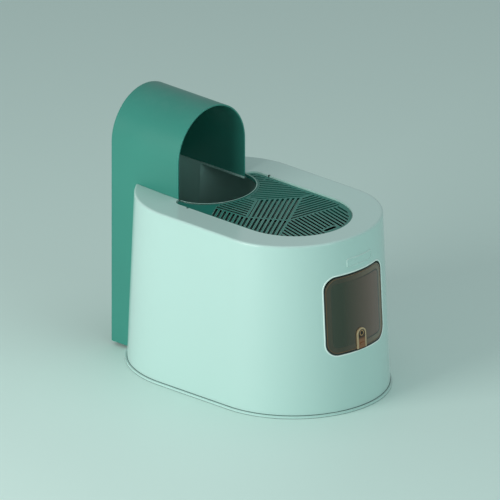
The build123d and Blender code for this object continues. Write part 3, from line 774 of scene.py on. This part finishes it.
def mint_plastic(name, overlay):
    return finish_material(
        name, colours().shell, drift=0.99, smooth=0.14, rough=0.17, grain_height=0.001 * MM,
        dust=0.03, overlay=overlay,
    )


def dress(piece, material):
    piece.data.materials.clear()
    piece.data.materials.append(material)


def dress_nodes(names, material):
    for name in names:
        dress(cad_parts[name], material)


def inner_shade_colour(tree, base, floor=NO_FLOOR):
    """Painted shade on the inner faces, and on the floors above the height given."""
    mask = effect(tree, "Inner shade", floor=floor)
    return mix_colours(tree, mask, base, rgba(colours().inside))


def shell_shade_overlay(tree, base):
    """Painted shade on the inner faces, and painted shade in the open slots for the lid's pins in
    the rim.
    """
    where = place_of(tree)
    from_hinge = vector_node(tree, "SUBTRACT", where, (PIN_SLOT_X, 0.0, 0.0))
    one_side = vector_node(tree, "ABSOLUTE", from_hinge)
    from_slot = vector_node(tree, "SUBTRACT", one_side, (0.0, PIN_SLOT_Y, 0.0))
    flat = vector_node(tree, "MULTIPLY", from_slot, (1.0, 1.0, 0.0))
    away = vector_node(tree, "LENGTH", flat, result="Value")
    near = range_node(tree, away, PIN_SLOT_RADIUS + PIN_SLOT_BLUR, PIN_SLOT_RADIUS)
    above = math_node(tree, "GREATER_THAN", axis_of(tree, where, "Z"), PIN_SLOT_FLOOR)
    # Painted shade: the rim around each pin slot is painted near black, as the shade in the hole
    mask = math_node(tree, "MULTIPLY", near, above)
    return mix_colours(tree, mask, inner_shade_colour(tree, base), rgba(colours().slot))


# Painted shade on the pan's inner faces and on its floor above PAN_FLOOR
def pan_shade_overlay(tree, base):
    return inner_shade_colour(tree, base, floor=PAN_FLOOR)


def slot_shade_overlay(tree, base):
    """Painted shade on the walls of the lid's slots, darkest in the area of the painted sheen."""
    sheen = effect(tree, "Sheen area", rest=0.0)
    wall = mix_colours(tree, sheen, rgba(colours().slot_far_shade), rgba(colours().slot))
    return mix_colours(tree, effect(tree, "Upright faces"), base, wall)


def door_overlay(tree, base):
    """Warmer tint towards the far side, a brown border, a dark line inside it, and painted shadow
    along its outer edge.
    """
    across = range_node(tree, axis_of(tree, place_of(tree), "Y"), *TINT_CHANGE)
    tinted = mix_colours(tree, across, base, rgba(colours().tint_far))
    distance = effect(tree, "Door border")
    band = sizes().flap_band
    edge = mix_colours(tree, across, rgba(colours().border), rgba(colours().border_far))
    strength = range_node(tree, across, 0.0, 1.0, to_low=0.4, to_high=0.75)
    within = range_node(tree, distance, band, band - BORDER_BLUR)
    bordered = mix_colours(tree, math_node(tree, "MULTIPLY", within, strength), tinted, edge)
    from_line = math_node(tree, "ABSOLUTE", math_node(tree, "SUBTRACT", distance, band))
    line_strength = range_node(tree, across, 0.3, 1.0, to_low=0.1, to_high=0.9)
    near_line = range_node(tree, from_line, *BORDER_LINE)
    line = math_node(tree, "MULTIPLY", near_line, line_strength)
    # Painted shadow on the flap's outer edge, joined with the dark line inside the border
    dark = math_node(tree, "MAXIMUM", line, range_node(tree, distance, *FLAP_RIM_SHADOW))
    return mix_colours(tree, dark, bordered, rgba(colours().border_line_and_rim_shadow))


def latch_overlay(tree, base):
    """Lighter amber on the slide's lower part, below its round recess."""
    low = range_node(tree, axis_of(tree, place_of(tree), "Z"), *LATCH_GRIP)
    return mix_colours(tree, low, base, rgba(colours().latch_low))


class LITTERBOX_OT_stage(Operator):
    """Pale floor, soft lights, plain world and the camera at the photograph's angle"""

    bl_idname = "litterbox.stage"
    bl_label = "Studio and camera"

    def execute(self, context):
        scene = context.scene
        scene.view_settings.view_transform = "Standard"
        self.add_floor(scene)
        self.add_lights(scene)
        self.set_world(scene)
        self.add_camera(scene)
        return {"FINISHED"}

    def add_floor(self, scene):
        half = sizes().floor_half
        corners = [(-half, -half, 0), (half, -half, 0), (half, half, 0), (-half, half, 0)]
        mesh = bpy.data.meshes.new("studio_floor")
        mesh.from_pydata(corners, [], [(0, 1, 2, 3)])
        floor = bpy.data.objects.new("studio_floor", mesh)
        scene.collection.objects.link(floor)
        material = bpy.data.materials.new("Studio floor")
        material.use_nodes = True
        shader = material.node_tree.nodes["Principled BSDF"]
        shader.inputs["Base Color"].default_value = rgba(colours().floor)
        shader.inputs["Roughness"].default_value = FLOOR_ROUGHNESS
        dress(floor, material)

    def add_lights(self, scene):
        """Large soft key from the near side, with weak fills from the door end and above."""
        for name, direction, distance, side, power, colour in LAMPS:
            lamp = bpy.data.lights.new(name, "AREA")
            lamp.size = side
            lamp.energy = power
            lamp.color = colour
            holder = bpy.data.objects.new(name, lamp)
            towards = Vector(direction).normalized()
            holder.location = towards * distance + LAMP_AIM
            holder.rotation_euler = towards.to_track_quat("Z", "Y").to_euler()
            scene.collection.objects.link(holder)

    def set_world(self, scene):
        world = bpy.data.worlds.new("Studio world")
        scene.world = world
        world.use_nodes = True
        back = world.node_tree.nodes["Background"]
        back.inputs["Color"].default_value = WORLD_COLOUR
        back.inputs["Strength"].default_value = WORLD_STRENGTH

    def add_camera(self, scene):
        camera = bpy.data.cameras.new("photo_view")
        camera.type = "ORTHO"
        camera.ortho_scale = sizes().view_width
        camera.clip_end = VIEW_END
        holder = bpy.data.objects.new("photo_view", camera)
        turn = Matrix((VIEW_RIGHT, VIEW_UP, VIEW_BACK)).transposed().to_4x4()
        place = VIEW_CENTRE + VIEW_BACK * sizes().camera_distance
        holder.matrix_world = Matrix.Translation(place) @ turn
        scene.collection.objects.link(holder)
        scene.camera = holder


class LITTERBOX_OT_shell(Operator):
    """Mint plastic on the body shell, the litter pan and the plate above the door"""

    bl_idname = "litterbox.shell"
    bl_label = "Shell and pan"

    def execute(self, context):
        dress_nodes(("body_shell",), mint_plastic("Mint plastic", shell_shade_overlay))
        dress_nodes(("base_tray",), mint_plastic("Mint plastic of the pan", pan_shade_overlay))
        # The plate's pale edge colour is a painted highlight
        plate = finish_material(
            "Mint plastic of the plate", colours().shell, drift=0.98, smooth=0.22, rough=0.28,
            edge_colour=colours().bead, edge_amount=1.0, edge_width=1.8 * MM, dust=0.0,
        )
        dress_nodes(("front_plate",), plate)
        self.add_plate_highlight()
        return {"FINISHED"}

    def add_plate_highlight(self):
        """Painted highlight up the plate's near edge and along its top."""
        low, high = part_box("front_plate")
        radius = sizes().plate_highlight
        height = high.z - low.z - 2 * PLATE_CORNER
        width = high.y - low.y - 2 * PLATE_CORNER
        line = [(low.y, z) for z in spaced(low.z + PLATE_CORNER, height, PLATE_STEPS)]
        line += [(y, high.z) for y in spaced(low.y + PLATE_CORNER, width, PLATE_STEPS)]
        places = []
        for number, (y, z) in enumerate(line):
            normal = surface_normal(y, z)
            face = Vector((front_surface_x(z, y, -PLATE_RISE), y, z))
            flat = Vector((0.0, 1.0, 0.0)) if number <= PLATE_STEPS else Vector((0.0, 0.0, 1.0))
            centre = face - normal * radius * PLATE_HIGHLIGHT_SINK
            places.append((centre, flat * radius, normal * radius))
        edge = tube("plate_edge_highlight", places, closed=False)
        finish = trim_plastic(
            "Pale highlight edge plastic", colours().bead, smooth=0.15, rough=0.22, coat=0.4
        )
        dress(edge, finish)
        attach(edge, "shell")


class LITTERBOX_OT_door_bead(Operator):
    """Rounded bead around the door opening, painted pale as a highlight, with the painted shadow
    line inside it
    """

    bl_idname = "litterbox.door_bead"
    bl_label = "Door bead"

    def execute(self, context):
        radius = sizes().door_bead
        outline = rounded_outline(DOOR_HALF_WIDTH, DOOR_BOTTOM, DOOR_TOP, DOOR_CORNER)
        height, sink = radius * BEAD_HEIGHT, radius * BEAD_SINK
        bead = bead_around("door_bead", outline, 0.0, radius, height, sink, under_latch)
        # The bead's pale colour is a painted highlight on the opening's lip
        pale = trim_plastic(
            "Pale highlight bead plastic", colours().bead, smooth=0.15, rough=0.22, coat=0.5
        )
        dress(bead, pale)

        line = sizes().door_shadow
        half_gap = (DOOR_HALF_WIDTH - FLAP_HALF_WIDTH) / 2
        outline = rounded_outline(
            DOOR_HALF_WIDTH - half_gap,
            (DOOR_BOTTOM + FLAP_BOTTOM) / 2,
            (DOOR_TOP + FLAP_TOP) / 2,
            DOOR_CORNER - half_gap,
        )
        # Painted shadow line in the gap between the opening and the flap
        shadow = bead_around("door_shadow_line", outline, DOOR_SHADOW_DEPTH, line, line)
        dress(shadow, trim_plastic("Black gap shadow", colours().gap, smooth=0.5, rough=0.6))
        for piece in (bead, shadow):
            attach(piece, "shell")
        return {"FINISHED"}


class LITTERBOX_OT_foot_lines(Operator):
    """Painted shadow in the seam under the body, and painted contact shadow under the foot flange
    """

    bl_idname = "litterbox.foot_lines"
    bl_label = "Foot lines"

    def execute(self, context):
        # Both rings are painted shadow: the seam's shade and the flange's contact shadow
        seam = trim_plastic("Foot shadow green", colours().seam, smooth=0.4, rough=0.5)
        under_body = foot_ring("foot_seam_shadow", FOOT_SHADOW_OUTSET, SHELL_BOTTOM + FOOT_SHADOW_RISE, sizes().seam)
        dress(under_body, seam)
        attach(under_body, "shell")
        radius = sizes().flange_shadow_line
        under_flange = foot_ring("flange_shadow_line", FLANGE_SHADOW_OUTSET, FLANGE_SHADOW_Z, radius)
        dress(under_flange, seam)
        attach(under_flange, "tray")
        return {"FINISHED"}


class LITTERBOX_OT_hood(Operator):
    """Green plastic on the arched hood, with a painted highlight on its edges"""

    bl_idname = "litterbox.hood"
    bl_label = "Hood"

    def execute(self, context):
        # edge_gain 3.2 paints a highlight on the hood's edges, where its front edge catches the
        # light
        green = finish_material(
            "Hood green plastic", colours().hood, drift=0.93, smooth=0.32, rough=0.42,
            edge_gain=3.2, edge_width=1.5 * MM, dust=0.03,
        )
        dress_nodes(("hood",), green)
        return {"FINISHED"}


class LITTERBOX_OT_lid(Operator):
    """Green plastic on the slotted lid with painted sheen and slot shade, and the painted highlight
    line along its entrance
    """

    bl_idname = "litterbox.lid"
    bl_label = "Grate lid"

    def execute(self, context):
        # The lid's pale bar edges in the sheen area are a painted reflection
        green = finish_material(
            "Grate green plastic", colours().grate, drift=0.88, smooth=0.26, rough=0.38,
            edge_colour=colours().grate_edge_sheen, edge_amount=1.0, edge_width=2.6 * MM,
            edge_full=0.88, edge_area="Sheen area", round_edges=0.8 * MM, dust=0.03,
            overlay=slot_shade_overlay,
        )
        dress_nodes(("grate_lid",), green)

        # Pale tube along the entrance: a painted highlight on the lid's lip
        radius = sizes().lip_highlight_line
        arc = half_oval(LID_BACK, LIP_REACH, LIP_HALF_WIDTH, LIP_TOP, -pi / 2, LIP_STEPS)
        upward = Vector((0, 0, radius * LIP_HIGHLIGHT_HEIGHT))
        lip_highlight = tube(
            "entrance_lip_highlight",
            [(point, outward * radius, upward) for point, outward in arc],
            closed=False,
        )
        pale = trim_plastic("Pale lip highlight plastic", colours().lip_highlight, smooth=0.12, rough=0.2, coat=0.4)
        dress(lip_highlight, pale)
        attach(lip_highlight, "lid")
        return {"FINISHED"}


class LITTERBOX_OT_flap(Operator):
    """Tinted plastic on the swing door and the raised line around it"""

    bl_idname = "litterbox.flap"
    bl_label = "Swing door"

    def execute(self, context):
        tint = finish_material(
            "Brown tinted plastic", colours().tint, smooth=0.10, rough=0.16, edge_gain=2.2,
            dust=0.0, coat=0.3, transmission=0.15, overlay=door_overlay,
        )
        dress_nodes(("door_flap",), tint)

        inset = sizes().flap_bead_inset
        outline = rounded_outline(
            FLAP_HALF_WIDTH - inset,
            FLAP_BOTTOM + inset,
            FLAP_TOP - inset,
            FLAP_CORNER - inset,
            FLAP_TOP_CORNER - inset,
        )
        radius = sizes().flap_bead
        bead = bead_around("flap_border", outline, FLAP_BEAD_DEPTH, radius, radius)
        dress(bead, trim_plastic("Bronze line", colours().bronze))
        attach(bead, "flap")
        return {"FINISHED"}


class LITTERBOX_OT_latch(Operator):
    """Amber slide with its ring and the painted shade of its recess, bronze surround with a painted
    highlight on its edges, and the plate behind the flap
    """

    bl_idname = "litterbox.latch"
    bl_label = "Latch"

    def execute(self, context):
        slide = finish_material(
            "Amber plastic", colours().latch, drift=0.6, smooth=0.15, rough=0.28, dust=0.0,
            edge_colour=colours().latch_low, edge_width=0.8 * MM, overlay=latch_overlay,
        )
        dress_nodes(("latch_slider",), slide)
        # The surround's cream edges are a painted highlight
        surround = finish_material(
            "Bronze plastic", colours().latch_frame, drift=0.7, smooth=0.2, rough=0.3, dust=0.0,
            edge_colour=colours().latch_edge_highlight, edge_amount=1.0, edge_width=1.2 * MM,
        )
        dress_nodes(("latch_frame",), surround)
        back_plate = finish_material(
            "Dark brown plastic", colours().latch_back, drift=0.8, smooth=0.4, rough=0.55,
            edge_gain=1.6, dust=0.0,
        )
        dress_nodes(("latch_backplate",), back_plate)
        gold = trim_plastic("Gold ring", colours().latch_ring, smooth=0.15, rough=0.25)
        # The dark disc is painted shade of the recess inside the ring
        dark = trim_plastic("Dark recess shade", colours().latch_recess_shade, smooth=0.5, rough=0.6)
        ring = (LATCH_RING_RADIUS, LATCH_RING_HALF_WIDTH, LATCH_RING_LIFT)
        self.add_ring("latch_ring", *ring, gold)
        self.add_ring("latch_recess_shade", LATCH_RECESS_HALF, LATCH_RECESS_HALF, 0.0, dark)
        return {"FINISHED"}

    def add_ring(self, name, radius, half_width, lift, finish):
        """Ring on the upper part of the slide's face, a disc where half_width equals radius."""
        normal = surface_normal(0.0, LATCH_RECESS_Z)
        face_x = front_surface_x(LATCH_RECESS_Z, 0.0, -LATCH_FACE)
        middle = Vector((face_x, 0.0, LATCH_RECESS_Z)) + normal * lift
        side = Vector((0.0, 1.0, 0.0))
        up = normal.cross(side)
        places = []
        for turn in spaced(0.0, 2 * pi, RING_STEPS)[:-1]:
            outward = side * cos(turn) + up * sin(turn)
            centre = middle + outward * radius
            places.append((centre, outward * half_width, normal * LATCH_TRIM_HEIGHT))
        piece = tube(name, places)
        dress(piece, finish)
        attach(piece, "latch")


class LITTERBOX_OT_hardware(Operator):
    """Steel rod, pins, screws, clips and magnets, and the plastic brackets"""

    bl_idname = "litterbox.hardware"
    bl_label = "Hardware"

    def execute(self, context):
        steel = finish_material(
            "Bare steel", colours().steel, drift=0.85, smooth=0.24, rough=0.4, edge_gain=1.3,
            edge_width=0.4 * MM, round_edges=0.3 * MM, dust=0.0, metallic=1.0, drawn=True,
        )
        dress_nodes(("hinge_rod", "lid_pin_left", "lid_pin_right"), steel)
        dress_nodes(("bracket_screws", "rod_clips", "flap_magnet", "sill_magnet"), steel)
        bracket = finish_material(
            "Bracket plastic", colours().bracket, drift=0.93, smooth=0.42, rough=0.55,
            edge_gain=1.2, dust=0.0,
        )
        dress_nodes(("rod_bracket_left", "rod_bracket_right"), bracket)
        return {"FINISHED"}


class LITTERBOX_OT_feet(Operator):
    """Soft dark rubber on the four feet"""

    bl_idname = "litterbox.feet"
    bl_label = "Rubber feet"

    def execute(self, context):
        rubber = finish_material(
            "Foot rubber", colours().rubber, drift=1.6, smooth=0.65, rough=0.85,
            grain=1800.0, grain_height=0.08 * MM, edge_gain=2.0, dust=0.0,
        )
        dress_nodes(("foot_front_left", "foot_front_right"), rubber)
        dress_nodes(("foot_rear_left", "foot_rear_right"), rubber)
        return {"FINISHED"}


class LITTERBOX_PT_panel(Panel):
    """Sizes, colours and pieces of the litter box"""

    bl_idname = "LITTERBOX_PT_panel"
    bl_label = "Litter box"
    bl_space_type = "VIEW_3D"
    bl_region_type = "UI"
    bl_category = "Litter box"

    def draw(self, context):
        layout = self.layout
        for operator in OPERATORS:
            layout.operator(operator.bl_idname)
        for settings in (colours(), sizes()):
            box = layout.box()
            for label in settings.__annotations__:
                box.prop(settings, label)


SETTINGS = (LitterBoxColours, LitterBoxSizes)
OPERATORS = (
    LITTERBOX_OT_stage,
    LITTERBOX_OT_shell,
    LITTERBOX_OT_door_bead,
    LITTERBOX_OT_foot_lines,
    LITTERBOX_OT_hood,
    LITTERBOX_OT_lid,
    LITTERBOX_OT_flap,
    LITTERBOX_OT_latch,
    LITTERBOX_OT_hardware,
    LITTERBOX_OT_feet,
)


def register():
    for kind in SETTINGS + OPERATORS + (LITTERBOX_PT_panel,):
        bpy.utils.register_class(kind)
    bpy.types.Scene.litter_box_colours = PointerProperty(type=LitterBoxColours)
    bpy.types.Scene.litter_box_sizes = PointerProperty(type=LitterBoxSizes)


def unregister():
    del bpy.types.Scene.litter_box_sizes
    del bpy.types.Scene.litter_box_colours
    for kind in reversed(SETTINGS + OPERATORS + (LITTERBOX_PT_panel,)):
        bpy.utils.unregister_class(kind)


def main():
    register()
    bpy.ops.litterbox.stage()
    bpy.ops.litterbox.shell()
    bpy.ops.litterbox.door_bead()
    bpy.ops.litterbox.foot_lines()
    bpy.ops.litterbox.hood()
    bpy.ops.litterbox.lid()
    bpy.ops.litterbox.flap()
    bpy.ops.litterbox.latch()
    bpy.ops.litterbox.hardware()
    bpy.ops.litterbox.feet()


if __name__ == "__main__":
    main()
